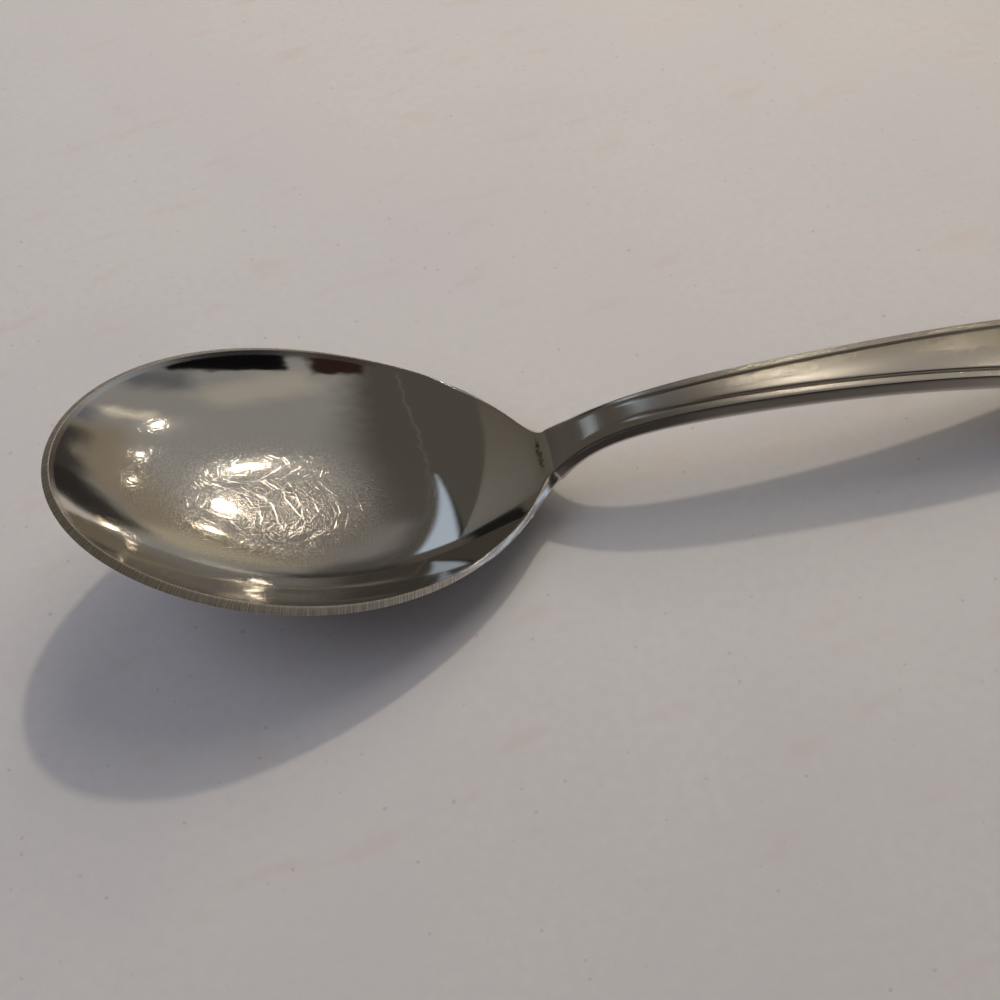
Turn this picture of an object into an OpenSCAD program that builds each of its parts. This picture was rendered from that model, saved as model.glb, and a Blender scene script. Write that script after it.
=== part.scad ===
// Soup spoon: a pressed steel bowl that runs through a narrow neck into an arched handle.
// The length lies along X, with the bowl's tip at the low end and the handle's end at the
// high end. Z = 0 is the table that the spoon lies on, touching it with the bottom of the
// bowl and with the level stretch under the handle's end. Along the spoon, s is the distance
// from the bowl's tip, and each cross-section is drawn square to the side view's edge line.

/* [Overall] */
// Length from the bowl's tip to the handle's end
spoon_l = 200; // [170:1:240]
// Length of the bowl, from its tip to the neck
bowl_l = 67.5; // [55:0.5:80]
// Width of the bowl across the outside of its rim
bowl_w = 47.6; // [38:0.2:56]

/* [Side view] */
// Height of the rim at the bowl's tip
tip_z = 23.6; // [19:0.1:28]
// Height that the rim's side curve aims at as it leaves the tip
lift_z = 18.1; // [15:0.1:21]
// Height of the rim at the neck
neck_z = 5.6; // [4.4:0.1:7]
// Height that the handle gains above the neck
rise_h = 8.9; // [6:0.1:13]
// Length over which the handle's rise dies away
rise_l = 6.9; // [5:0.1:10]
// Distance from the fold at the handle's root forward to the neck
fold_in = 1.5; // [1:0.1:2.4]
// Length over which the fold is rounded
fold_l = 0.8; // [0.6:0.05:1.4]
// Length of the level stretch under the handle's end
level_l = 13; // [8:0.5:20]

/* [Metal] */
// Thickness of the metal in the middle of the bowl
wall_t = 1.9; // [1.3:0.05:2.6]
// Thickness of the ground edge round the rim
rim_t = 1.2; // [0.8:0.05:1.6]
// Thickness of the handle along its stem
stem_t = 2.8; // [2.2:0.05:3.6]
// Thickness of the handle at its end
end_t = 2.3; // [1.6:0.05:2.8]

/* [Handle] */
// Width of the neck where the handle leaves the bowl
neck_w = 9.4; // [7.9:0.1:11.5]
// Width of the handle at its waist
waist_w = 7.1; // [6.7:0.1:8.5]
// Width that the handle's taper reaches for at the end, before the end is rounded
end_w = 25.5; // [19.5:0.5:30.5]
// Length over which the neck narrows to the waist
neck_l = 4; // [2.5:0.1:6]
// Length over which the bowl's hollow fades out in the handle's root
fade_l = 8; // [5:0.5:12]
// Height of the crown across the handle's middle panel
crown_h = 0.45; // [0.2:0.05:0.7]
// Distance from the handle's edge to the middle of the border groove
groove_in = 1.5; // [1.2:0.05:1.9]
// Width of the border groove
groove_w = 0.8; // [0.5:0.05:1]
// Depth of the border groove
groove_d = 0.32; // [0.15:0.01:0.45]
// Distance from the neck to where the grooves begin
groove_from = 6; // [3:0.5:10]
// Length over which the grooves and the crown reach their full depth
groove_run = 22; // [12:1:34]
// Radius of the handle's long edges
edge_r = 0.45; // [0.25:0.05:0.6]
// Width of the softer edges at the handle's root
root_r = 1.6; // [0.8:0.1:1.9]
// Depth of the softer edges at the handle's root
root_d = 0.7; // [0.5:0.05:0.9]
// Distance that the handle's sides lean out from their top edge to their lower one
lean_w = 0.75; // [0.4:0.05:1]
// Length over which the bowl's rim turns into the leaning sides
lean_l = 6; // [4:0.5:9]

/* [Hidden] */

// Slope of the bowl's wall where it meets the rim, in degrees
rim_angle = 50;

// Powers that shape the outlines, the bowl's section, the arch and the heel
shoulder_share = 0.625;
egg_share = 0.1;
section_share = 1.5;
corner_share = 3.2;
taper_share = 1.78;
round_share = 13;
arch_share = 4.5;
heel_share = 14;
root_share = 4;
spread_share = 1.35;

// Height of the handle's sides as a share of its thickness along the middle line, and the
// power of the belly that the underside has between them
side_share = 0.58;
belly_share = 4;

// Rows along the bowl's outline, one side of the stem, and a quarter turn of the end
bowl_rows = 80;
stem_rows = 52;
end_rows = 22;

// Rings of the bowl, as shares of the way from its middle to the rim
ring_shares = [0.12, 0.25, 0.38, 0.5, 0.61, 0.71, 0.79, 0.86, 0.91, 0.945, 0.97, 0.985, 1];
// Columns of the handle's middle panel and of its underside, as shares of their widths
panel_shares = [0, 0.36, 0.7];
under_shares = [0, 0.45, 0.7, 0.87, 1];
// Columns of the handle's rounded edge, as shares of its radius
edge_shares = [0, 0.3, 1];
// Middle of the bowl's rings as a share of the bowl, and of the end's rows as one of the stem
middle_share = 0.5;
turn_share = 0.93;
// Most of a row's length that the border may take up
border_share = 0.9;
// Stretch of the bowl where its underside may touch the table, and the step in the search
rest_shares = [0.3:0.01:0.9];
slope_share = 0.002;

tip_x = -spoon_l / 2;
stem_l = spoon_l - bowl_l;
arch_l = stem_l - level_l;
turn_s = bowl_l + turn_share * stem_l;
middle_s = middle_share * bowl_l;
outer_half = bowl_w / 2;
rim_land = rim_t * sin(rim_angle);
rim_up = rim_t * cos(rim_angle);
inner_half = outer_half - rim_land;
fall_h = neck_z + rise_h - end_t;
step_l = slope_share * bowl_l;
groove_near = groove_in - groove_w / 2;
groove_far = groove_in + groove_w / 2;

// Distances in from the handle's edge of the columns of its border
border = concat([for (e = edge_shares) e * edge_r],
    [(edge_r + groove_near) / 2, groove_near, groove_in, groove_far]);

// A smooth step, from 0 to 1 as t runs from 0 to 1
function eased(t) = let (k = min(1, max(0, t))) k * k * (3 - 2 * k);

// How far the arch has come down at s, from 0 at the neck to 1 at the level stretch
function fallen(s) = let (q = min(1, max(0, (s - bowl_l) / arch_l)))
    (arch_share + 1) * pow(q, arch_share) - arch_share * pow(q, arch_share + 1);

// How much of its full thickness the edge has at s, which grows along the bowl's heel
function heel(s) = pow(min(1, max(0, s / bowl_l)), heel_share);

// Thickness of the handle at s
function thick(s) = stem_t + (end_t - stem_t) * fallen(s);

// Side view of the rim: a curve with four aiming heights, level where it meets the neck
function rim_z(s) = let (u = min(1, s / bowl_l), v = 1 - u)
    v * v * v * tip_z + 3 * v * v * u * lift_z + (3 * v + u) * u * u * neck_z;

// Height of the edge line at s: the rim, then the handle's rise, arch and level end
function line_z(s) = let (run = fold_l * ln(1 + exp((s - bowl_l + fold_in) / fold_l)))
    rim_z(s) + rise_h * (1 - exp(-run / rise_l)) - fall_h * fallen(s);

// Direction square to the edge line in the side view
function square_to(s) = let (slope = (line_z(s + step_l) - line_z(s - step_l)) / (2 * step_l))
    [-slope, 1] / norm([slope, 1]);

// Half width of the bowl by itself, for an outline with this half width and start
function egg(s, half, start) = let (u = min(1, max(0, (s - start) / (bowl_l - start))),
    top = 1 / (1 + 2 * shoulder_share))
    half * sqrt(u / top) * pow((1 - u) / (1 - top), shoulder_share) * (1 + egg_share * (u - top));

// Half width of the handle by itself
function stem_half(s) = let (t = max(0, s - bowl_l), q = min(1, t / stem_l))
    (waist_w + (end_w - waist_w) * pow(q, taper_share) + (neck_w - waist_w) * exp(-t / neck_l)) / 2
    * sqrt(1 - pow(q, round_share)) * pow(min(1, s / bowl_l), root_share);

// Half width of the whole spoon: bowl and handle joined by a small inward corner
function half_at(s, half, start) =
    pow(pow(egg(s, half, start), corner_share) + pow(stem_half(s), corner_share), 1 / corner_share);

// Half widths of the widest outline, low on the rim and sides, and of the top face within it
function lower_half(s) = half_at(s, outer_half, 0);
function top_half(s) = half_at(s, inner_half, rim_land) - lean_w * eased((s - bowl_l + lean_l) / lean_l);

// Share of the bowl's depth that the hollow has at s and y, inside an outline w wide there
function hollow(s, y, w, half) = let (k = min(1, max(0, (w * w - y * y) / (half * half))))
    (1 - pow(1 - k, section_share)) * (1 - eased((s - bowl_l + fold_in) / fade_l));

// The bowl is as deep as lets its underside just touch the table
depth_out = min([for (k = rest_shares) let (s = k * bowl_l)
    (line_z(s) / square_to(s)[1] - stem_t * heel(s)) / hollow(s, 0, lower_half(s), outer_half)]);
depth_in = depth_out + rim_up - wall_t;

// How much of the softer root the handle's long edges have at s
function rooted(s) = eased((s - bowl_l) / neck_l) * (1 - eased((s - bowl_l - neck_l) / groove_run));

// Height of the crown, groove and rounded edge at a distance from the edge, on a row l long
function pattern(s, from_edge, l) = let (k = eased((s - bowl_l - groove_from) / groove_run),
    q = 1 - from_edge / l, g = min(1, abs(from_edge - groove_in) / (groove_w / 2)),
    wide = edge_r + (root_r - edge_r) * rooted(s), deep = edge_r + (root_d - edge_r) * rooted(s),
    r = max(0, 1 - from_edge / wide))
    k * (crown_h * (1 - q * q) - groove_d * (1 - g * g))
    - deep * (1 - sqrt(1 - r * r)) * eased((s - bowl_l + neck_l) / neck_l);

// A point at s and y, moved off the edge line by this much
function place(s, y, off) = let (n = square_to(s)) [tip_x + s + off * n[0], y, line_z(s) + off * n[1]];
function top_point(s, y, from_edge, l) = place(s, y,
    rim_up * (1 - heel(s)) - depth_in * hollow(s, y, top_half(s), inner_half) + pattern(s, from_edge, l));
function under_point(s, y, share) = let (side = side_share + (1 - side_share) * fallen(s))
    place(s, y, -thick(s) * heel(s) * (1 - (1 - side) * pow(share, belly_share))
        - depth_out * hollow(s, y, lower_half(s), outer_half));

// Distances from the middle line at which a row of this length has its columns
function top_columns(l) = let (k = min(1, border_share * l / groove_far), last = len(border) - 1)
    concat([for (p = panel_shares) p * (l - k * groove_far)], [for (i = [last:-1:0]) l - k * border[i]]);
function under_columns(l) = [for (p = under_shares) p * l];

// The two triangles of a four-cornered face, left out where corners are one point
function corner_faces(a, b, c, d) = concat(a == b || b == c || a == c ? [] : [[a, b, c]],
    a == c || c == d || a == d ? [] : [[a, c, d]]);

// The section across the neck that both parts share, from one side to the other
neck_columns = top_columns(top_half(bowl_l));
neck_under_columns = under_columns(lower_half(bowl_l));
function both_sides(c) = concat([for (i = [len(c) - 1:-1:1]) c[i]], [for (v = c) -v]);

// Places of the bowl's rows, from one side of the neck round the tip to the other side, each
// with the side that it is on
function bowl_line(start) = [for (j = [0:bowl_rows])
    [bowl_l + (start - bowl_l) * sin(180 * j / bowl_rows), j < bowl_rows / 2 ? 1 : -1]];

// The outline closed by a straight row across the neck, between its two corners
function closed_edge(edge, across) = concat(edge,
    [for (i = [len(across) - 2:-1:1]) [bowl_l, across[i]]]);

function ring_point(p, share) = [middle_s + share * (p[0] - middle_s), share * p[1]];

module bowl() {
    top_edge = closed_edge([for (b = bowl_line(rim_land)) [b[0], b[1] * top_half(b[0])]],
        both_sides(neck_columns));
    under_edge = closed_edge([for (b = bowl_line(0)) [b[0], b[1] * lower_half(b[0])]],
        both_sides(neck_under_columns));
    rings = len(ring_shares);
    top_n = len(top_edge);
    under_n = len(under_edge);
    first_top = 2;
    first_under = first_top + rings * top_n;
    last_top = first_top + (rings - 1) * top_n;
    last_under = first_under + (rings - 1) * under_n;
    points = concat(
        [top_point(middle_s, 0, inner_half, inner_half), under_point(middle_s, 0, 0)],
        [for (k = ring_shares, p = top_edge) let (q = ring_point(p, k),
            w = top_half(q[0])) top_point(q[0], q[1], max(0, w - abs(q[1])), w)],
        [for (k = ring_shares, p = under_edge) let (q = ring_point(p, k))
            under_point(q[0], q[1], min(1, abs(q[1]) / max(lower_half(q[0]), edge_r)))]);
    faces = concat(
        [for (j = [0:top_n - 1]) [0, first_top + (j + 1) % top_n, first_top + j]],
        [for (i = [0:rings - 2], j = [0:top_n - 1]) let (a = first_top + i * top_n, k = (j + 1) % top_n)
            each corner_faces(a + j, a + k, a + top_n + k, a + top_n + j)],
        [for (j = [0:under_n - 1]) [1, first_under + j, first_under + (j + 1) % under_n]],
        [for (i = [0:rings - 2], j = [0:under_n - 1])
            let (a = first_under + i * under_n, k = (j + 1) % under_n)
            each corner_faces(a + j, a + under_n + j, a + under_n + k, a + k)],
        [for (j = [0:bowl_rows - 1])
            each corner_faces(last_top + j, last_top + j + 1, last_under + j + 1, last_under + j)],
        [concat([for (j = [bowl_rows:top_n - 1]) last_top + j], [last_top, last_under],
            [for (j = [under_n - 1:-1:bowl_rows]) last_under + j])]);
    color([0.62, 0.61, 0.6]) polyhedron(points, faces);
}

// Rows of the handle, each from s on the middle line to s and y on the outline: along one
// side, round the end about a point on the middle line, and back along the other side
handle_side = concat(
    [for (j = [0:stem_rows - 1]) let (s = bowl_l + (turn_s - bowl_l) * pow(j / stem_rows, spread_share))
        [s, s, lower_half(s)]],
    [for (j = [0:end_rows - 1]) let (s = turn_s + (spoon_l - turn_s) * sin(90 * j / end_rows))
        [turn_s, s, lower_half(s)]]);
handle_rows = concat(handle_side, [[turn_s, spoon_l, 0]],
    [for (j = [len(handle_side) - 1:-1:0]) let (r = handle_side[j]) [r[0], r[1], -r[2]]]);

// The row's top face ends where the leaning side begins
function row_top(r) = let (d = [r[1] - r[0], r[2]], l = norm(d) - lean_w, c = top_columns(l))
    [for (k = [1:len(c) - 1]) let (p = [r[0], 0] + d * c[k] / norm(d)) top_point(p[0], p[1], l - c[k], l)];
function row_under(r) = let (d = [r[1] - r[0], r[2]], l = norm(d), c = under_columns(l))
    [for (k = [1:len(c) - 1]) let (p = [r[0], 0] + d * c[k] / l) under_point(p[0], p[1], c[k] / l)];

module handle() {
    last = len(handle_rows) - 1;
    spine_n = stem_rows + 1;
    top_n = len(neck_columns) - 1;
    under_n = len(neck_under_columns) - 1;
    first_top = 2 * spine_n;
    first_under = first_top + (last + 1) * top_n;
    function spine(j) = min(j, last - j, stem_rows);
    function at_top(j, i) = i == 0 ? spine(j) : first_top + j * top_n + i - 1;
    function at_under(j, i) = i == 0 ? spine_n + spine(j) : first_under + j * under_n + i - 1;
    points = concat(
        [for (j = [0:stem_rows]) let (s = handle_rows[j][0], w = top_half(s)) top_point(s, 0, w, w)],
        [for (j = [0:stem_rows]) under_point(handle_rows[j][0], 0, 0)],
        [for (r = handle_rows) each row_top(r)],
        [for (r = handle_rows) each row_under(r)]);
    faces = concat(
        [for (j = [0:last - 1], i = [0:top_n - 1])
            each corner_faces(at_top(j, i), at_top(j, i + 1), at_top(j + 1, i + 1), at_top(j + 1, i))],
        [for (j = [0:last - 1], i = [0:under_n - 1]) each
            corner_faces(at_under(j, i), at_under(j + 1, i), at_under(j + 1, i + 1), at_under(j, i + 1))],
        [for (j = [0:last - 1]) each corner_faces(at_top(j, top_n), at_under(j, under_n),
            at_under(j + 1, under_n), at_top(j + 1, top_n))],
        [concat([for (i = [top_n:-1:0]) at_top(0, i)], [for (i = [1:top_n]) at_top(last, i)],
            [for (i = [under_n:-1:0]) at_under(last, i)], [for (i = [1:under_n]) at_under(0, i)])]);
    color([0.58, 0.56, 0.54]) polyhedron(points, faces);
}

bowl();
handle();
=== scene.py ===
# A stainless steel soup spoon, lying bowl up on a pale table
import math

import bmesh
import bpy
import numpy as np
from mathutils import Matrix, Vector


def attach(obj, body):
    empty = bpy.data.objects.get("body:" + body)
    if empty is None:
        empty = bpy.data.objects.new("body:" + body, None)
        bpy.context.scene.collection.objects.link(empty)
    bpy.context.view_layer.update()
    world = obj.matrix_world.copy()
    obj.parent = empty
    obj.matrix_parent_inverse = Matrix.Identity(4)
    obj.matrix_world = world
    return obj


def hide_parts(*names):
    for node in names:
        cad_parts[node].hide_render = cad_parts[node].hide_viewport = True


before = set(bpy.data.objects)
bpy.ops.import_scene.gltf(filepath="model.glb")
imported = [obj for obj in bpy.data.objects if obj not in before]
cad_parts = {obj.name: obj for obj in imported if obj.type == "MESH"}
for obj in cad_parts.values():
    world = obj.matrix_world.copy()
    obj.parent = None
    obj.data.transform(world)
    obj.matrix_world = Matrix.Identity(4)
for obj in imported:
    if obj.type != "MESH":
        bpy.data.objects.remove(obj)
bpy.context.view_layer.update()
print("frame loaded:", sorted(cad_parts))

mm = 0.001                                       # sizes here are in millimetres, Blender works in metres
noiseMean = 0.5                                  # what the noise texture comes to on average
smooth = {"interpolation_type": "SMOOTHSTEP"}    # settings that many nodes share
rgba = {"data_type": "RGBA"}


def srgb(code):
    # sRGB hex to the linear colour that the shaders take
    parts = [int(code[i:i + 2], 16) / 255 for i in (1, 3, 5)]
    return [c / 12.92 if c <= 0.04045 else ((c + 0.055) / 1.055) ** 2.4 for c in parts] + [1]


def addNode(tree, kind, inputs=None, **settings):
    # inputs gives a plain value, a socket, or a node whose first output is meant, for each
    # socket's name or number
    node = tree.nodes.new("ShaderNode" + kind)
    for name, value in settings.items():
        setattr(node, name, value)
    for socket, value in (inputs or {}).items():
        if isinstance(value, bpy.types.Node):
            value = value.outputs[0]
        if isinstance(value, bpy.types.NodeSocket):
            tree.links.new(value, node.inputs[socket])
        else:
            node.inputs[socket].default_value = value
    return node


def newMaterial(name):
    material = bpy.data.materials.new(name)
    material.use_nodes = True
    tree = material.node_tree
    tree.nodes.clear()
    return material, tree, addNode(tree, "TexCoord").outputs


def streaks(tree, place, turn, length, width, detail=1):
    # noise drawn out along one direction in the plane
    drawn = addNode(tree, "Mapping", {"Vector": place, "Rotation": (0, 0, math.radians(turn)),
                                      "Scale": (length * mm, width * mm, length * mm)}, vector_type="TEXTURE")
    return addNode(tree, "TexNoise", {"Vector": drawn, "Scale": 1, "Detail": detail})


def ovalDistance(tree, *axes):
    # squared distance from an oval's middle, 1 on its outline. Each axis gives a coordinate, and
    # the oval's middle and half size along it
    shares = []
    for coordinate, middle, half in axes:
        fromMiddle = addNode(tree, "Math", {0: coordinate, 1: middle * mm}, operation="SUBTRACT")
        shares.append(addNode(tree, "Math", {0: fromMiddle, 1: half * mm}, operation="DIVIDE"))
    first, second = shares
    square = addNode(tree, "Math", {0: second, 1: second}, operation="MULTIPLY")
    return addNode(tree, "Math", {0: first, 1: first, 2: square}, operation="MULTIPLY_ADD")


def towards(azimuth, elevation):
    # a direction, with the azimuth turned from +Y towards +X
    a, e = math.radians(azimuth), math.radians(elevation)
    return Vector((math.sin(a) * math.cos(e), math.cos(a) * math.cos(e), math.sin(e)))


# Camera
view = {
    "place": (-49.04, -106.10, 144.71),
    "elevation": 54.12,  # how steeply it looks down
    "azimuth": 4.68,     # its place is turned this far from -Y towards -X
    "roll": -6.75,
    "lens": 43.2, "sensor": 36,
    "nearest": 10, "farthest": 20000,
}


def addCamera():
    back = -towards(view["azimuth"], -view["elevation"])
    level = Vector((back.y, -back.x, 0)).normalized() * -1
    upright = back.cross(level)
    roll = math.radians(view["roll"])
    right = level * math.cos(roll) + upright * math.sin(roll)
    up = upright * math.cos(roll) - level * math.sin(roll)
    camera = bpy.data.objects.new("camera", bpy.data.cameras.new("camera"))
    camera.data.lens = view["lens"]
    camera.data.sensor_width = view["sensor"]
    camera.data.clip_start = view["nearest"] * mm
    camera.data.clip_end = view["farthest"] * mm
    turn = Matrix((right, up, back)).transposed().to_4x4()
    camera.matrix_world = Matrix.Translation(Vector(view["place"]) * mm) @ turn
    bpy.context.scene.collection.objects.link(camera)
    bpy.context.scene.camera = camera


addCamera()
print("camera placed")

# Shape of the spoon. It is one pressed piece of steel, drawn as one skin, and s is the
# distance along it from the tip of the bowl
spoon = {
    "length": 200, "bowlLength": 67.5, "bowlWidth": 47.6,
    "tipHeight": 23.6, "rimLift": 18.1, "neckHeight": 5.6,              # the rim seen from the side
    "rise": 8.9, "riseLength": 6.9, "foldIn": 1.5, "foldLength": 0.8,   # the fold and the root's rise
    "arch": 4.5, "levelLength": 13,                                     # the arch and the level end
    "wall": 1.9, "rim": 1.2, "rimAngle": 50, "stem": 2.8, "end": 2.3,   # thicknesses
    "neckWidth": 9.4, "waistWidth": 7.1, "endWidth": 25.5,
    "neckLength": 4, "taper": 1.78, "round": 13, "root": 4,             # how the handle's width changes
    "shoulder": 0.625, "egg": 0.1, "corner": 3.2,                       # outline of the bowl
    "section": 1.5, "heel": 14, "fadeLength": 8,                        # its depth, and how that ends
    "restFrom": 0.3, "restTo": 0.9, "restStep": 0.01,                   # where it may touch the table
    "crown": 0.45, "grooveIn": 1.5, "grooveWidth": 0.8, "grooveDepth": 0.32,
    "grooveFrom": 6, "grooveRun": 22,                                   # the groove grows past the neck
    "edgeRadius": 0.2, "edgeWide": 0.4, "beadRise": 0.11,               # the bead outside the groove
    "rootRadius": 1.6, "rootDepth": 0.7,
    "lean": 0.75, "leanLength": 6, "side": 0.58, "belly": 4,            # leaning sides and rounded underside
    "rimRadius": 0.14,    # the ground rim's worn corners
    "groundTo": 51,       # the rim is ground square up to here, and polished round from there on
    "softTop": 0.42, "softSide": 1.08, "softRise": 6, "softFlat": 0.85,
    "lowerRadius": 0.3,   # the handle's lower corners
    "slopeStep": 0.002,   # share of the bowl's length that a slope is taken over
    "mirrorWithin": 0.0001, "mergeWithin": 0.001,
    "tipRows": 130, "middle": 0.5,                       # rows that fan out round the tip
    "bowlRows": 66, "foldFrom": 60, "foldRows": 46,      # straight rows of the bowl
    "rootTo": 82, "rootRows": 66, "stemRows": 240,       # and of the handle
    "turn": 0.93, "endRows": 60,                         # rows that fan out round the end
    "panelColumns": 38, "borderColumns": 24, "borderShare": 0.9,
    "cornerColumns": 5, "sideColumns": 4, "underColumns": 24,
}
tipX = -spoon["length"] / 2
bowlEnd = spoon["bowlLength"]
outerHalf = spoon["bowlWidth"] / 2
rimLand = spoon["rim"] * math.sin(math.radians(spoon["rimAngle"]))
rimUp = spoon["rim"] * math.cos(math.radians(spoon["rimAngle"]))
innerHalf = outerHalf - rimLand
middleS = spoon["middle"] * bowlEnd
turnS = bowlEnd + spoon["turn"] * (spoon["length"] - bowlEnd)
edgeColumn = spoon["panelColumns"] + spoon["borderColumns"]    # the last column of the top face


def eased(t):
    k = np.clip(t, 0, 1)
    return k * k * (3 - 2 * k)


def fallen(s):
    # how far the arch has come down, from 0 at the neck to 1 at the level stretch
    q = np.clip((s - bowlEnd) / (spoon["length"] - bowlEnd - spoon["levelLength"]), 0, 1)
    return (spoon["arch"] + 1) * q ** spoon["arch"] - spoon["arch"] * q ** (spoon["arch"] + 1)


def heel(s):
    return np.clip(s / bowlEnd, 0, 1) ** spoon["heel"]


def rimHeight(s):
    # a curve with four aiming heights, level where it meets the neck
    u = np.clip(s / bowlEnd, 0, 1)
    v = 1 - u
    return v ** 3 * spoon["tipHeight"] + 3 * v * v * u * spoon["rimLift"] \
        + (3 * v + u) * u * u * spoon["neckHeight"]


def lineHeight(s):
    # the edge line seen from the side: rim, fold, rise, arch and level end
    run = spoon["foldLength"] * np.log1p(np.exp((s - bowlEnd + spoon["foldIn"]) / spoon["foldLength"]))
    return rimHeight(s) + spoon["rise"] * (1 - np.exp(-run / spoon["riseLength"])) \
        - (spoon["neckHeight"] + spoon["rise"] - spoon["end"]) * fallen(s)


def squareTo(s):
    # the direction square to the edge line, in X and Z
    step = spoon["slopeStep"] * bowlEnd
    slope = (lineHeight(s + step) - lineHeight(s - step)) / (2 * step)
    size = np.sqrt(slope * slope + 1)
    return -slope / size, 1 / size


def eggHalf(s, half, start):
    u = np.clip((s - start) / (bowlEnd - start), 0, 1)
    top = 1 / (1 + 2 * spoon["shoulder"])
    return half * np.sqrt(u / top) * ((1 - u) / (1 - top)) ** spoon["shoulder"] \
        * (1 + spoon["egg"] * (u - top))


def stemHalf(s):
    t = np.maximum(0, s - bowlEnd)
    q = np.minimum(1, t / (spoon["length"] - bowlEnd))
    width = spoon["waistWidth"] + (spoon["endWidth"] - spoon["waistWidth"]) * q ** spoon["taper"] \
        + (spoon["neckWidth"] - spoon["waistWidth"]) * np.exp(-t / spoon["neckLength"])
    return width / 2 * np.sqrt(1 - q ** spoon["round"]) * np.clip(s / bowlEnd, 0, 1) ** spoon["root"]


def halfWidth(s, half, start):
    power = spoon["corner"]
    return (eggHalf(s, half, start) ** power + stemHalf(s) ** power) ** (1 / power)


def lowerHalf(s):
    # the widest outline, low on the rim and on the leaning sides
    return halfWidth(s, outerHalf, 0)


def topHalf(s):
    # the outline of the top face
    leant = eased((s - bowlEnd + spoon["leanLength"]) / spoon["leanLength"])
    return halfWidth(s, innerHalf, rimLand) - spoon["lean"] * leant


def hollow(s, y, w, half):
    # share of the bowl's depth at s and y, inside an outline w wide there
    k = np.clip((w * w - y * y) / (half * half), 0, 1)
    return (1 - (1 - k) ** spoon["section"]) \
        * (1 - eased((s - bowlEnd + spoon["foldIn"]) / spoon["fadeLength"]))


def relief(s, fromEdge, length):
    # the handle's crowned panel, the groove along its border, the level bead outside it and the
    # rounded edge
    grown = eased((s - bowlEnd - spoon["grooveFrom"]) / spoon["grooveRun"])
    q = 1 - fromEdge / length
    g = np.minimum(1, np.abs(fromEdge - spoon["grooveIn"]) / (spoon["grooveWidth"] / 2))
    rooted = eased((s - bowlEnd) / spoon["neckLength"]) \
        * (1 - eased((s - bowlEnd - spoon["neckLength"]) / spoon["grooveRun"]))
    wide = spoon["edgeWide"] + (spoon["rootRadius"] - spoon["edgeWide"]) * rooted
    deep = spoon["edgeRadius"] + (spoon["rootDepth"] - spoon["edgeRadius"]) * rooted
    r = np.clip(1 - fromEdge / wide, 0, 1)
    outwards = np.maximum(0, spoon["grooveIn"] - fromEdge)
    return grown * (spoon["crown"] * (1 - q * q) - spoon["grooveDepth"] * (1 - g * g)
                    + spoon["beadRise"] * outwards) \
        - deep * (1 - np.sqrt(1 - r * r)) * eased((s - bowlEnd + spoon["neckLength"]) / spoon["neckLength"])


# the bowl is pressed so deep that its lowest point touches the table
restS = np.arange(spoon["restFrom"], spoon["restTo"], spoon["restStep"]) * bowlEnd
outerDepth = np.min((lineHeight(restS) / squareTo(restS)[1] - spoon["stem"] * heel(restS))
                    / hollow(restS, 0 * restS, lowerHalf(restS), outerHalf))
innerDepth = outerDepth + rimUp - spoon["wall"]


def offLine(s, y, off):
    # a point beside the edge line and square off it
    n = squareTo(s)
    return np.stack([tipX + s + off * n[0], y, lineHeight(s) + off * n[1]], axis=-1)


def topPoint(s, y, fromEdge, length):
    return offLine(s, y, rimUp * (1 - heel(s)) - innerDepth * hollow(s, y, topHalf(s), innerHalf)
                   + relief(s, fromEdge, length))


def underPoint(s, y, share):
    thick = spoon["stem"] + (spoon["end"] - spoon["stem"]) * fallen(s)
    side = spoon["side"] + (1 - spoon["side"]) * fallen(s)
    return offLine(s, y, -thick * heel(s) * (1 - (1 - side) * share ** spoon["belly"])
                   - outerDepth * hollow(s, y, lowerHalf(s), outerHalf))


def rowLines():
    # each row of the skin: where it starts on the middle line, and s and y on both outlines
    tip = 1 - np.cos(np.linspace(0, math.pi / 2, spoon["tipRows"] + 1))[:-1]
    stretches = [(middleS, spoon["foldFrom"], spoon["bowlRows"]),
                 (spoon["foldFrom"], bowlEnd, spoon["foldRows"]),
                 (bowlEnd, spoon["rootTo"], spoon["rootRows"]),
                 (spoon["rootTo"], turnS, spoon["stemRows"])]
    straight = np.concatenate([np.linspace(a, b, n, endpoint=False) for a, b, n in stretches])
    end = turnS + (spoon["length"] - turnS) * np.sin(np.linspace(0, math.pi / 2, spoon["endRows"] + 1))
    base = np.concatenate([0 * tip + middleS, straight, 0 * end + turnS])
    lowS = np.concatenate([middleS * tip, straight, end])
    lowY = lowerHalf(lowS)
    topS = np.concatenate([rimLand + (middleS - rimLand) * tip, straight, end])
    topY = topHalf(topS)
    lowY[0] = lowY[-1] = topY[0] = 0
    # along the handle the top face ends where the leaning side begins
    past = lowS >= bowlEnd
    kept = 1 - spoon["lean"] / np.hypot(lowS - base, lowY)
    topS[past] = (base + (lowS - base) * kept)[past]
    topY[past] = (lowY * kept)[past]
    return base, topS, topY, lowS, lowY


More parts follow.
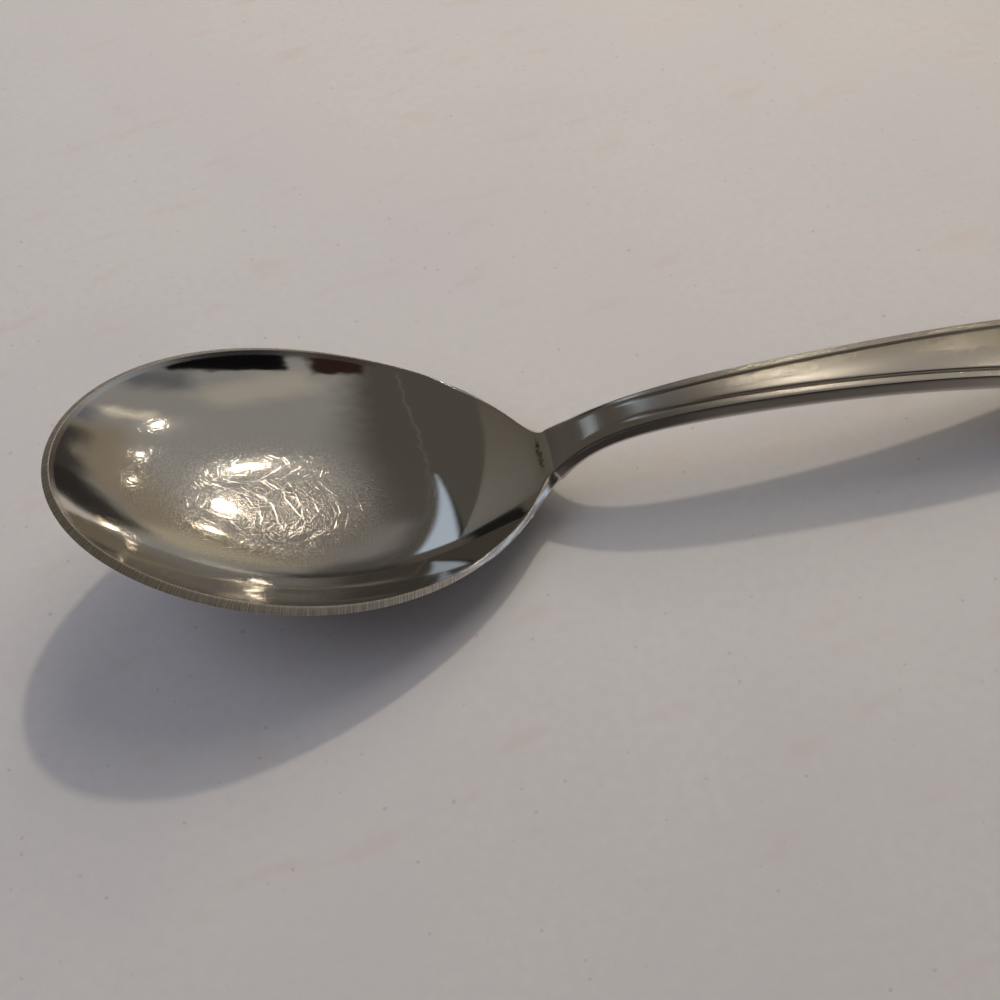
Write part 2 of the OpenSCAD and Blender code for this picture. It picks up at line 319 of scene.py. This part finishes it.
def skinPoints():
    # one side of the skin as an array of columns by rows, and a map in millimetres: along
    # the outline, and across from the top of the edge
    base, s, y, lowS, lowY = rowLines()
    length = np.hypot(s - base, y)
    lowLength = np.hypot(lowS - base, lowY)
    grown = eased((s - bowlEnd + spoon["neckLength"]) / spoon["neckLength"])
    lowRadius = spoon["rimRadius"] + (spoon["lowerRadius"] - spoon["rimRadius"]) * grown
    softened = eased((lowS - spoon["groundTo"]) / spoon["softRise"]) * (1 - grown)
    rimTop = spoon["rimRadius"] + (spoon["softTop"] - spoon["rimRadius"]) * softened
    rimSide = spoon["rimRadius"] + (spoon["softSide"] - spoon["rimRadius"]) * softened

    def topAt(c):
        return topPoint(base + (s - base) * c / length, y * c / length, length - c, length)

    def underAt(c):
        return underPoint(base + (lowS - base) * c / lowLength, lowY * c / lowLength, c / lowLength)

    def rounded(a, corner, b, t):
        return a * (1 - t) ** 2 + corner * 2 * t * (1 - t) + b * t * t

    def between(a, b, distance):
        span = b - a
        return a + span * (distance / np.linalg.norm(span, axis=-1))[:, None]

    borderWidth = spoon["grooveIn"] + spoon["grooveWidth"]
    k = np.minimum(1, spoon["borderShare"] * length / borderWidth)
    columns = [topAt(share * (length - k * borderWidth))
               for share in np.linspace(0, 1, spoon["panelColumns"], endpoint=False)]
    columns += [topAt(length - k * distance)
                for distance in np.linspace(borderWidth + 0 * s, rimTop / k, spoon["borderColumns"])]
    edge, lowEdge = topAt(length), underAt(lowLength)
    rimNear = between(edge, lowEdge, rimSide)
    corner = edge + ((columns[-1] + rimNear) / 2 - edge) * spoon["softFlat"] * softened[:, None]
    lowNear = between(lowEdge, edge, lowRadius)
    lowIn = underAt(lowLength - lowRadius)
    turns = np.linspace(0, 1, spoon["cornerColumns"] + 1)
    columns += [rounded(columns[-1], corner, rimNear, t) for t in turns[1:]]
    columns += [rimNear + (lowNear - rimNear) * t
                for t in np.linspace(0, 1, spoon["sideColumns"] + 1)[1:]]
    columns += [rounded(lowNear, lowEdge, lowIn, t) for t in turns[1:]]
    columns += [underAt((lowLength - lowRadius) * share)
                for share in np.linspace(1, 0, spoon["underColumns"] + 1)[1:]]
    skin = np.array(columns)

    along = np.concatenate([[0], np.cumsum(np.linalg.norm(np.diff(lowEdge, axis=0), axis=-1))])
    steps = np.linalg.norm(np.diff(skin, axis=0), axis=-1)
    across = np.concatenate([np.zeros((1, len(s))), np.cumsum(steps, axis=0)])
    across -= across[edgeColumn]
    return skin, along, across


def wholeSkin():
    skin, along, across = skinPoints()
    columnCount, rowCount = skin.shape[:2]
    bm = bmesh.new()
    mapLayer = bm.loops.layers.uv.new("alongEdge")
    rowLayer = bm.verts.layers.int.new("row")
    bmesh.ops.create_grid(bm, x_segments=rowCount - 1, y_segments=columnCount - 1, size=1)
    for v in bm.verts:
        row = round((v.co.x + 1) / 2 * (rowCount - 1))
        column = round((v.co.y + 1) / 2 * (columnCount - 1))
        v[rowLayer] = row
        v.co = (row, column, 0)
    for face in bm.faces:
        for loop in face.loops:
            row, column = round(loop.vert.co.x), round(loop.vert.co.y)
            loop[mapLayer].uv = (along[row] * mm, across[column, row] * mm)
    # the faces of the ground rim get the second material
    lastGround = edgeColumn + 2 * spoon["cornerColumns"] + spoon["sideColumns"]
    groundShare = (spoon["groundTo"] - middleS) / (spoon["foldFrom"] - middleS)
    groundRows = spoon["tipRows"] + spoon["bowlRows"] * groundShare
    for face in bm.faces:
        centre = face.calc_center_median()
        face.material_index = int(edgeColumn - 1 < centre.y < lastGround - 1 and centre.x < groundRows)
    for v in bm.verts:
        v.co = Vector(skin[round(v.co.y), round(v.co.x)]) * mm
    bmesh.ops.mirror(bm, geom=bm.verts[:] + bm.edges[:] + bm.faces[:], axis="Y",
                     merge_dist=spoon["mirrorWithin"] * mm)
    bmesh.ops.remove_doubles(bm, verts=bm.verts[:], dist=spoon["mergeWithin"] * mm)
    bmesh.ops.recalc_face_normals(bm, faces=bm.faces[:])
    bm.normal_update()
    normalLayer = bm.verts.layers.float_vector.new("skinNormal")
    for v in bm.verts:
        v[normalLayer] = v.normal
    return bm


def addSteelPiece(name, skin, keep, node, materials):
    # one named stretch of the skin, closed at the neck, with the whole skin's normals
    bm = skin.copy()
    rowLayer = bm.verts.layers.int["row"]
    others = [f for f in bm.faces if not all(keep(v[rowLayer]) for v in f.verts)]
    bmesh.ops.delete(bm, geom=others, context="FACES")
    skinFaces = set(bm.faces)
    bmesh.ops.holes_fill(bm, edges=[e for e in bm.edges if e.is_boundary], sides=0)
    bmesh.ops.recalc_face_normals(bm, faces=bm.faces[:])
    bm.normal_update()
    normalLayer = bm.verts.layers.float_vector["skinNormal"]
    normals = []
    for face in bm.faces:
        face.smooth = True
        flat = face not in skinFaces
        normals += [tuple(face.normal) if flat else tuple(v[normalLayer]) for v in face.verts]
    mesh = bpy.data.meshes.new(name)
    bm.to_mesh(mesh)
    bm.free()
    mesh.normals_split_custom_set(normals)
    for material in materials:
        mesh.materials.append(material)
    piece = bpy.data.objects.new(name, mesh)
    bpy.context.scene.collection.objects.link(piece)
    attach(piece, "root")
    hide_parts(node)
    print(name, "has", sum(len(p.vertices) - 2 for p in mesh.polygons), "triangles")


# Table top
table = {
    "size": 6000, "roughness": 0.6,
    "pale": "#b7b1a9", "grey": "#b2aca7",
    "cloud": 40, "cloudDetail": 3, "mottle": 1.6, "mottleDetail": 4,   # patches of its print, in mm
    "greyAt": 0.13, "paleAt": 0.38,                                    # strength of the pattern
    # faint smudges, and specks: size, where in the noise they begin and are full, and how strong
    "smudge": 16, "smudgeSlim": 3, "smudgeTurn": 12, "smudgeRange": (0.6, 0.78), "smudgeMost": 0.3,
    "smudgeColour": "#b39d90",
    "speck": 1.1, "speckRange": (0.8, 0.86), "speckMost": 0.35, "speckColour": "#857b74",
    "frontEdge": -75, "frontBlur": 30, "beyond": "#736b63",
}


def tableMaterial():
    # laminate board, pressed with a faintly mottled print: matt and nearly even, so that it shows
    # the shadows cleanly and only a few smudges and specks from close by
    material, tree, coords = newMaterial("matt laminate board")
    place = coords["Object"]
    cloud = addNode(tree, "TexNoise", {"Vector": place, "Scale": 1 / (table["cloud"] * mm),
                                       "Detail": table["cloudDetail"]})
    mottle = addNode(tree, "TexNoise", {"Vector": place, "Scale": 1 / (table["mottle"] * mm),
                                        "Detail": table["mottleDetail"]})
    both = addNode(tree, "Math", {0: cloud, 1: mottle}, operation="MULTIPLY")
    patch = addNode(tree, "MapRange", {0: both, 1: table["greyAt"], 2: table["paleAt"]})
    colour = addNode(tree, "Mix", {0: patch, 6: srgb(table["grey"]), 7: srgb(table["pale"])},
                     **rgba).outputs[2]
    smudge = streaks(tree, place, table["smudgeTurn"], table["smudge"], table["smudge"] / table["smudgeSlim"])
    speck = addNode(tree, "TexNoise", {"Vector": place, "Scale": 1 / (table["speck"] * mm), "Detail": 0})
    for name, noise in (("smudge", smudge), ("speck", speck)):
        low, high = table[name + "Range"]
        share = addNode(tree, "MapRange", {0: noise, 1: low, 2: high, 4: table[name + "Most"]}, **smooth)
        colour = addNode(tree, "Mix", {0: share, 6: colour, 7: srgb(table[name + "Colour"])},
                         **rgba).outputs[2]
    # a painted reflection: in the steel the table ends on the near side, and a dim floor is painted in its
    # place for glossy rays only
    rays = addNode(tree, "LightPath").outputs
    xyz = addNode(tree, "SeparateXYZ", {0: place}).outputs
    front = addNode(tree, "MapRange", {0: xyz[1], 1: table["frontEdge"] * mm,
                                       2: (table["frontEdge"] - table["frontBlur"]) * mm})
    share = addNode(tree, "Math", {0: front, 1: rays["Is Glossy Ray"]}, operation="MULTIPLY")
    colour = addNode(tree, "Mix", {0: share, 6: colour, 7: srgb(table["beyond"])}, **rgba).outputs[2]
    shader = addNode(tree, "BsdfPrincipled", {"Base Color": colour, "Roughness": table["roughness"]})
    addNode(tree, "OutputMaterial", {"Surface": shader})
    return material


def addTable():
    bm = bmesh.new()
    bmesh.ops.create_grid(bm, x_segments=2, y_segments=2, size=table["size"] / 2 * mm)
    mesh = bpy.data.meshes.new("table")
    bm.to_mesh(mesh)
    bm.free()
    mesh.materials.append(tableMaterial())
    top = bpy.data.objects.new("table", mesh)
    bpy.context.scene.collection.objects.link(top)


addTable()
print("table laid")

# Steel. One grade throughout, with a finish for each stretch of the press and grinding work.
# A range gives the noise at which a pattern begins and at which it is full
fold = {
    "x": -33.8, "y": 0.5, "long": 2.6, "wide": 0.4,      # middle and half sizes of a dark trace
    "grain": 0.5, "grainDetail": 2, "ragged": 4, "range": (3.6, 1.6), "colour": "#746c62",
}
bowlFinish = {
    "colour": "#ccc9c5", "polished": 0.05, "worn": 0.28,
    "wornX": -74, "wornLong": 30, "wornWide": 20,        # the oval that use rubs, and its half sizes
    "wornEdge": 0.5, "wornRest": 0.04,                   # from here outwards it fades, to this much
    # its haze is made of scratches too fine to show, so it is drawn as patches of this size
    "haze": 0.1, "hazeDetail": 2, "hazeRange": (0.46, 0.66),
    # scratches that do show: turn in degrees, and spacing along and across. They come out 0.05 to
    # 0.16 wide, coarser than real ones, which would be too fine to show
    "scratches": ((8, 12, 1.0), (38, 8, 0.9), (68, 10, 1.1), (97, 12, 1.0), (128, 8, 0.9), (157, 10, 1.1)),
    "scratchHalf": 0.016, "scratchDepth": 0.0014,
    # the matt stretch beside the neck begins at this x where y is large, and bends away
    "mattFrom": -41, "mattBendY": 8, "mattBend": 0.065, "mattPower": 1.6, "mattBlur": 0.7,
    "mattLow": -7.5, "mattLowX": -46, "mattLowRise": 0.28, "mattLowBlur": 2.5,   # its end on the near wall
    "matt": 0.52, "mattColour": "#e2dccf",
    "grain": 0.35, "grainDetail": 2, "grainDepth": 0.025,   # press marks, drawn coarser than real ones
    "edgeFrom": -1, "edgeTo": -0.6, "edge": 0.22,        # the rim's polished edge, across from its top
}
rimFinish = {
    "ground": 0.5, "colour": "#bdb5a9", "pale": "#ebe4d8",
    # belt marks across the rim, with a painted glint in the pale colour laid on them. A belt's grit leaves
    # them too fine to show, so they are drawn coarser
    "mark": 0.2, "markLength": 6, "markTurn": 90, "glintRange": (0.35, 0.7), "depth": 0.012,
}
handleFinish = {
    "colour": "#c8c3bc", "root": 0.17, "rootX": -24, "satin": 0.27, "satinX": -12,
    "mattTo": -27.8,                                     # the matt stretch at the neck ends here
    "side": 0.25, "sideBlur": 0.1,
    # linishing marks across the handle, drawn coarser for the same reason
    "mark": 0.18, "markLength": 4, "markTurn": 90, "depth": 0.0035,
    "grooveShadeColour": "#7d7468", "grooveShadeCore": 0.16,       # half the width that is fully painted with shade
}


def foldDarkTrace(tree, place, xyz, colour):
    # a dark, ragged trace painted along the crease at the neck
    oval = ovalDistance(tree, (xyz[1], fold["y"], fold["long"]), (xyz[0], fold["x"], fold["wide"]))
    grain = addNode(tree, "TexNoise", {"Vector": place, "Scale": 1 / (fold["grain"] * mm),
                                       "Detail": fold["grainDetail"]})
    broken = addNode(tree, "Math", {0: grain, 1: fold["ragged"], 2: oval}, operation="MULTIPLY_ADD")
    low, high = fold["range"]
    share = addNode(tree, "MapRange", {0: broken, 1: low, 2: high}, **smooth)
    return addNode(tree, "Mix", {0: share, 6: colour, 7: srgb(fold["colour"])}, **rgba).outputs[2]


def finishSteel(material, tree, colour, roughness, height, depth):
    bump = addNode(tree, "Bump", {"Height": height, "Distance": depth * mm, "Strength": 1})
    shader = addNode(tree, "BsdfPrincipled", {"Base Color": colour, "Metallic": 1, "Roughness": roughness,
                                              "Normal": bump})
    addNode(tree, "OutputMaterial", {"Surface": shader})
    return material


def bowlMaterial():
    # stainless steel, pressed and mirror polished: a sharp mirror, which use has hazed in its
    # middle and drawn bright hairlines on. Beside the neck it stays matt and mirrors nothing
    material, tree, coords = newMaterial("polished stainless steel")
    place = coords["Object"]
    xyz = addNode(tree, "SeparateXYZ", {0: place}).outputs
    # scratches run where drawn out noise passes its mean
    lines = 0
    for turn, length, width in bowlFinish["scratches"]:
        noise = streaks(tree, place, turn, length, width, 0)
        level = addNode(tree, "Math", {0: noise, 1: noiseMean}, operation="SUBTRACT")
        gap = addNode(tree, "Math", {0: level}, operation="ABSOLUTE")
        line = addNode(tree, "MapRange", {0: gap, 1: bowlFinish["scratchHalf"], 2: 0}, **smooth)
        lines = addNode(tree, "Math", {0: lines, 1: line}, operation="MAXIMUM")
    # worn most in the middle of the bowl, out to an oval
    oval = ovalDistance(tree, (xyz[0], bowlFinish["wornX"], bowlFinish["wornLong"]),
                        (xyz[1], 0, bowlFinish["wornWide"]))
    fromMiddle = addNode(tree, "Math", {0: oval}, operation="SQRT")
    used = addNode(tree, "MapRange", {0: fromMiddle, 1: 1, 2: bowlFinish["wornEdge"],
                                      3: bowlFinish["wornRest"], 4: 1}, **smooth)
    lines = addNode(tree, "Math", {0: lines, 1: used}, operation="MULTIPLY")
    haze = addNode(tree, "TexNoise", {"Vector": place, "Scale": 1 / (bowlFinish["haze"] * mm),
                                      "Detail": bowlFinish["hazeDetail"]})
    low, high = bowlFinish["hazeRange"]
    hazed = addNode(tree, "MapRange", {0: haze, 1: low, 2: high}, **smooth)
    worn = addNode(tree, "Math", {0: hazed, 1: used}, operation="MULTIPLY")
    # matt beyond a bent line, down to a straight one on the near wall
    yPlace = addNode(tree, "Math", {0: xyz[1], 1: mm}, operation="DIVIDE")
    xPlace = addNode(tree, "Math", {0: xyz[0], 1: mm}, operation="DIVIDE")
    nearer = addNode(tree, "Math", {0: bowlFinish["mattBendY"], 1: yPlace}, operation="SUBTRACT")
    nearer = addNode(tree, "Math", {0: nearer, 1: 0}, operation="MAXIMUM")
    curve = addNode(tree, "Math", {0: nearer, 1: bowlFinish["mattPower"]}, operation="POWER")
    bend = addNode(tree, "Math", {0: curve, 1: bowlFinish["mattBend"]}, operation="MULTIPLY")
    start = addNode(tree, "Math", {0: bowlFinish["mattFrom"], 1: bend}, operation="SUBTRACT")
    beyond = addNode(tree, "Math", {0: xPlace, 1: start}, operation="SUBTRACT")
    past = addNode(tree, "MapRange", {0: beyond, 1: -bowlFinish["mattBlur"], 2: bowlFinish["mattBlur"]},
                   **smooth)
    overLine = addNode(tree, "Math", {0: xyz[0], 1: -bowlFinish["mattLowRise"], 2: xyz[1]},
                       operation="MULTIPLY_ADD")
    lowest = (bowlFinish["mattLow"] - bowlFinish["mattLowRise"] * bowlFinish["mattLowX"]) * mm
    above = addNode(tree, "MapRange", {0: overLine, 1: lowest - bowlFinish["mattLowBlur"] * mm, 2: lowest},
                    **smooth)
    matt = addNode(tree, "Math", {0: past, 1: above}, operation="MULTIPLY")
    # roughness: polished, worn, matt, and the rim's edge
    shine = addNode(tree, "MapRange", {0: worn, 1: 0, 2: 1, 3: bowlFinish["polished"], 4: bowlFinish["worn"]},
                    **smooth)
    wall = addNode(tree, "MapRange", {0: matt, 1: 0, 2: 1, 3: shine, 4: bowlFinish["matt"]}, **smooth)
    across = addNode(tree, "SeparateXYZ", {0: coords["UV"]}).outputs[1]
    roughness = addNode(tree, "MapRange", {0: across, 1: bowlFinish["edgeFrom"] * mm,
                                           2: bowlFinish["edgeTo"] * mm,
                                           3: wall, 4: bowlFinish["edge"]}, **smooth)
    # height: press marks where it is matt, and scratches elsewhere
    grain = addNode(tree, "TexNoise", {"Vector": place, "Scale": 1 / (bowlFinish["grain"] * mm),
                                       "Detail": bowlFinish["grainDetail"]})
    pressed = addNode(tree, "Math", {0: grain, 1: bowlFinish["grainDepth"] / bowlFinish["scratchDepth"]},
                      operation="MULTIPLY")
    notMatt = addNode(tree, "Math", {0: 1, 1: matt}, operation="SUBTRACT")
    scratched = addNode(tree, "Math", {0: lines, 1: notMatt}, operation="MULTIPLY")
    height = addNode(tree, "Math", {0: matt, 1: pressed, 2: scratched}, operation="MULTIPLY_ADD")
    colour = addNode(tree, "Mix", {0: matt, 6: srgb(bowlFinish["colour"]), 7: srgb(bowlFinish["mattColour"])},
                     **rgba).outputs[2]
    colour = foldDarkTrace(tree, place, xyz, colour)
    return finishSteel(material, tree, colour, roughness, height, bowlFinish["scratchDepth"])


def rimMaterial():
    # stainless steel, ground square with a belt: short marks across the rim, light and dark in
    # turn, the light ones painted glints, that make it look pale and grainy beside the mirror
    material, tree, coords = newMaterial("ground stainless steel")
    marks = streaks(tree, coords["UV"], rimFinish["markTurn"], rimFinish["markLength"], rimFinish["mark"])
    low, high = rimFinish["glintRange"]
    share = addNode(tree, "MapRange", {0: marks, 1: low, 2: high}, **smooth)
    colour = addNode(tree, "Mix", {0: share, 6: srgb(rimFinish["colour"]), 7: srgb(rimFinish["pale"])},
                     **rgba).outputs[2]
    return finishSteel(material, tree, colour, rimFinish["ground"], marks, rimFinish["depth"])


def handleMaterial():
    # stainless steel, linished across its length to a satin: it keeps only broad bands of what it
    # mirrors, sharper at the root, with a dark line of painted shade in the groove
    material, tree, coords = newMaterial("satin stainless steel")
    xyz = addNode(tree, "SeparateXYZ", {0: coords["Object"]}).outputs
    across = addNode(tree, "SeparateXYZ", {0: coords["UV"]}).outputs[1]
    marks = streaks(tree, coords["UV"], handleFinish["markTurn"], handleFinish["markLength"],
                    handleFinish["mark"])
    panel = addNode(tree, "MapRange", {0: xyz[0], 1: handleFinish["rootX"] * mm,
                                       2: handleFinish["satinX"] * mm,
                                       3: handleFinish["root"], 4: handleFinish["satin"]}, **smooth)
    face = addNode(tree, "MapRange", {0: xyz[0], 1: handleFinish["mattTo"] * mm, 2: fold["x"] * mm,
                                      3: panel, 4: bowlFinish["matt"]}, **smooth)
    roughness = addNode(tree, "MapRange", {0: across, 1: -handleFinish["sideBlur"] * mm,
                                           2: handleFinish["sideBlur"] * mm,
                                           3: face, 4: handleFinish["side"]}, **smooth)
    colour = foldDarkTrace(tree, coords["Object"], xyz, srgb(handleFinish["colour"]))
    # the groove, painted darker as shade in its recess
    grown = addNode(tree, "MapRange", {0: xyz[0], 1: (tipX + bowlEnd + spoon["grooveFrom"]) * mm,
                                       2: (tipX + bowlEnd + spoon["grooveRun"]) * mm}, **smooth)
    inwards = addNode(tree, "Math", {0: across, 1: spoon["grooveIn"] * mm}, operation="ADD")
    fromGroove = addNode(tree, "Math", {0: inwards}, operation="ABSOLUTE")
    inGroove = addNode(tree, "MapRange", {0: fromGroove, 1: spoon["grooveWidth"] / 2 * mm,
                                          2: handleFinish["grooveShadeCore"] * mm}, **smooth)
    grooveShade = addNode(tree, "Math", {0: grown, 1: inGroove}, operation="MULTIPLY")
    colour = addNode(tree, "Mix", {0: grooveShade, 6: colour, 7: srgb(handleFinish["grooveShadeColour"])},
                     **rgba).outputs[2]
    return finishSteel(material, tree, colour, roughness, marks, handleFinish["depth"])


skin = wholeSkin()
neckRow = spoon["tipRows"] + spoon["bowlRows"] + spoon["foldRows"]
addSteelPiece("spoonBowl", skin, lambda row: row <= neckRow, "bowl",
              [bowlMaterial(), rimMaterial()])
addSteelPiece("spoonHandle", skin, lambda row: row >= neckRow, "handle", [handleMaterial()])
skin.free()
print("spoon made")

# Light. One main lamp behind the bowl casts the long shadows, and the rest is soft
lamps = {
    # name: azimuth, elevation, distance, width, height, watts, colour, lights the table
    "mainLamp": (22, 45.6, 920, 38, 38, 3.05, "#fff8ea", True),
    "weakLamp": (15, 30, 1100, 100, 100, 0.45, "#fff4e6", True),
    "leftPanel": (-80, 50, 480, 360, 360, 0.82, "#d3dfff", True),
    "backPanel": (30, 45, 480, 360, 360, 1.05, "#fff8ee", True),
    # those that don't light the table are only mirrored in the steel
    "spotA": (43.8, 50.2, 500, 14, 18, 0.045, "#fff2dc", False),
    "spotB": (33.0, 41.9, 500, 13, 15, 0.03, "#fff2dc", False),
    "spotC": (29.0, 32.5, 500, 13, 10, 0.014, "#fff0d0", False),
    "spotD": (88.0, 39.8, 500, 16, 12, 0.026, "#fff2dc", False),
    "spotE": (65.7, 36.2, 500, 12, 10, 0.014, "#fff2dc", False),
    "spotF": (50.4, 29.8, 500, 9, 8, 0.008, "#fff0d0", False),
    "spotG": (24.6, 1, 500, 9, 12, 0.014, "#ffe9c8", False),
}
lampAim = Vector((-60, 0, 5)) * mm


def addLamps():
    for name, (azimuth, elevation, distance, width, height, watts, colour, lightsTable) in lamps.items():
        lamp = bpy.data.lights.new(name, "AREA")
        lamp.shape = "ELLIPSE"
        lamp.size, lamp.size_y = width * mm, height * mm
        lamp.energy = watts
        lamp.color = srgb(colour)[:3]
        holder = bpy.data.objects.new(name, lamp)
        direction = towards(azimuth, elevation)
        holder.matrix_world = Matrix.Translation(lampAim + direction * distance * mm) \
            @ direction.to_track_quat("Z", "Y").to_matrix().to_4x4()
        holder.visible_camera = False
        holder.visible_diffuse = lightsTable
        holder.visible_glossy = not lightsTable
        bpy.context.scene.collection.objects.link(holder)


addLamps()

# What the steel mirrors: a dim room with a pale ceiling on one side, painted for glossy rays
room = {
    "softFront": "#777a86", "softBack": "#99999b", "softSpan": 0.6,   # even light on all the rest
    "ceilingDark": "#59544d", "ceilingPale": "#9a9792",
    "ceilingEdge": 0.25, "ceilingTurn": 0.17, "ceilingBlur": 0.16,
    "line": -0.112, "lineTurn": 0.12, "lineHalf": 0.014, "lineColour": "#6c6760",   # along the ceiling
    "leastUp": 0.05, "leastAhead": 0.1,                  # keep the divisions away from 0
    "waver": 12, "waverDetail": 2, "waverBy": 0.08,      # edges waver, but for those of ruled cards
    "ruled": ("sideWindow", "windowFrame", "window"),
}
cards = {
    # name: azimuth, elevation, width, height, taper, turn, blur (angles in degrees), colour
    "warmWall": (50, 24, 62, 20, 0, 0, 6, "#928775"),
    "midWall": (13, 33, 11, 20, 0, 0, 4, "#87827e"),
    "paleCorner": (133, 47, 30, 13, 0, 12, 5, "#b4ada1"),
    "greyEast": (117, 26, 10, 16, 0, -40, 4, "#6d6d6f"),
    "blueGrey": (86, 17, 9, 7, 0, 0, 3, "#707178"),
    "blueCard": (109, 5, 30, 24, 0, 0, 3, "#c9d6ee"),
    "frontDark": (195, 12, 90, 60, 0, 0, 5, "#35312e"),
    "blackCard": (143.5, 23, 29, 26, 0, 33, 1.2, "#100f10"),
    "brownCard": (171, 36.5, 15, 26, 0, 10, 1.5, "#33231c"),
    "eastDark": (73, 15, 9, 10, 0, 0, 3, "#4a4540"),
    "lowDark": (46, 5, 34, 15, 0, 0, 3, "#332f2c"),
    "innerDark": (63, 10, 20, 12, 0, 0, 3, "#433d39"),
    "glowStreak": (93.5, 29, 3.5, 13, 0, -20, 2, "#efe3cc"),
    "nearDark": (8, 5, 15, 16, 0, 0, 3, "#3d3936"),
    "warmPatch": (26.5, 17, 10, 13, 0, 25, 4, "#bfb39a"),
    "lowGlow": (17, 4, 5, 9, 0, 0, 2, "#cec6b8"),
    "darkPost": (-15, 10, 10, 26, 0, 0, 2, "#201f1c"),
    "wallGrey": (26, 41, 15, 12, 0, 0, 5, "#7c766e"),
    "sideWindow": (-40, 38, 12, 4, 0, 37, 1.5, "#ccd7e4"),
    "windowFrame": (-8.3, 41.5, 9.5, 49, 0.95, 6, 0.8, "#25231f"),
    "window": (-7, 41, 9, 48, 0.95, 6, 1, "#c3d0de"),
}


def cardMask(tree, direction, azimuth, elevation, width, height, taper, turn, blur):
    # 1 on the card, 0 beside it
    ahead = towards(azimuth, elevation)
    side = ahead.cross(Vector((0, 0, 1))).normalized()
    over = side.cross(ahead)
    a = math.radians(turn)
    side, over = side * math.cos(a) + over * math.sin(a), over * math.cos(a) - side * math.sin(a)
    depth, sideways, upwards = [addNode(tree, "VectorMath", {0: direction, 1: axis},
                                        operation="DOT_PRODUCT").outputs[1] for axis in (ahead, side, over)]
    soft = math.tan(math.radians(blur))
    half, tall = math.tan(math.radians(width / 2)), math.tan(math.radians(height / 2))
    x = addNode(tree, "Math", {0: sideways, 1: depth}, operation="DIVIDE")
    y = addNode(tree, "Math", {0: upwards, 1: depth}, operation="DIVIDE")
    # a tapering card is narrower towards its top
    slant = half * taper / 2
    narrower = addNode(tree, "Math", {0: y, 1: slant / tall, 2: slant}, operation="MULTIPLY_ADD")
    fromMiddle = addNode(tree, "Math", {0: x}, operation="ABSOLUTE")
    fromSide = addNode(tree, "Math", {0: fromMiddle, 1: narrower}, operation="ADD")
    fromLevel = addNode(tree, "Math", {0: y}, operation="ABSOLUTE")
    inWidth = addNode(tree, "MapRange", {0: fromSide, 1: half + soft, 2: half - soft}, **smooth)
    inHeight = addNode(tree, "MapRange", {0: fromLevel, 1: tall + soft, 2: tall - soft}, **smooth)
    mask = addNode(tree, "Math", {0: inWidth, 1: inHeight}, operation="MULTIPLY")
    facing = addNode(tree, "Math", {0: depth, 1: room["leastAhead"]}, operation="GREATER_THAN")
    return addNode(tree, "Math", {0: mask, 1: facing}, operation="MULTIPLY")


def addRoom():
    world = bpy.data.worlds.new("dim room")
    bpy.context.scene.world = world
    world.use_nodes = True
    tree = world.node_tree
    tree.nodes.clear()
    straight = addNode(tree, "TexCoord").outputs["Generated"]
    noise = addNode(tree, "TexNoise", {"Vector": straight, "Scale": room["waver"],
                                       "Detail": room["waverDetail"]}).outputs[1]
    drift = addNode(tree, "VectorMath", {0: noise, 1: [noiseMean] * 3}, operation="SUBTRACT")
    wavering = addNode(tree, "VectorMath", {0: drift, 1: [room["waverBy"]] * 3, 2: straight},
                       operation="MULTIPLY_ADD").outputs[0]
    xyz = addNode(tree, "SeparateXYZ", {0: wavering}).outputs
    up = addNode(tree, "Math", {0: xyz[2], 1: room["leastUp"]}, operation="MAXIMUM")
    # both lines of the ceiling run away from the table, slightly turned
    reach, beside = [addNode(tree, "Math", {0: addNode(tree, "Math", {0: xyz[1], 1: -turn, 2: xyz[0]},
                                                       operation="MULTIPLY_ADD"), 1: up}, operation="DIVIDE")
                     for turn in (room["ceilingTurn"], room["lineTurn"])]
    pale = addNode(tree, "MapRange", {0: reach, 1: room["ceilingEdge"] - room["ceilingBlur"],
                                      2: room["ceilingEdge"] + room["ceilingBlur"]}, **smooth)
    colour = addNode(tree, "Mix", {0: pale, 6: srgb(room["ceilingDark"]), 7: srgb(room["ceilingPale"])},
                     **rgba).outputs[2]
    fromLine = addNode(tree, "Math", {0: beside, 1: room["line"]}, operation="SUBTRACT")
    gap = addNode(tree, "Math", {0: fromLine}, operation="ABSOLUTE")
    onLine = addNode(tree, "MapRange", {0: gap, 1: room["lineHalf"], 2: 0}, **smooth)
    colour = addNode(tree, "Mix", {0: onLine, 6: colour, 7: srgb(room["lineColour"])}, **rgba).outputs[2]
    for name, (*shape, code) in cards.items():
        mask = cardMask(tree, straight if name in room["ruled"] else wavering, *shape)
        colour = addNode(tree, "Mix", {0: mask, 6: colour, 7: srgb(code)}, **rgba).outputs[2]
    rays = addNode(tree, "LightPath").outputs
    mirrored = addNode(tree, "Background", {0: colour})
    depth = addNode(tree, "SeparateXYZ", {0: straight}).outputs[1]
    backwards = addNode(tree, "MapRange", {0: depth, 1: -room["softSpan"], 2: room["softSpan"]}, **smooth)
    soft = addNode(tree, "Mix", {0: backwards, 6: srgb(room["softFront"]), 7: srgb(room["softBack"])},
                   **rgba).outputs[2]
    even = addNode(tree, "Background", {0: soft})
    both = addNode(tree, "MixShader", {0: rays["Is Glossy Ray"], 1: even, 2: mirrored})
    addNode(tree, "OutputWorld", {0: both})


addRoom()
print("lamps and room set")

bpy.context.scene.view_settings.view_transform = "Standard"
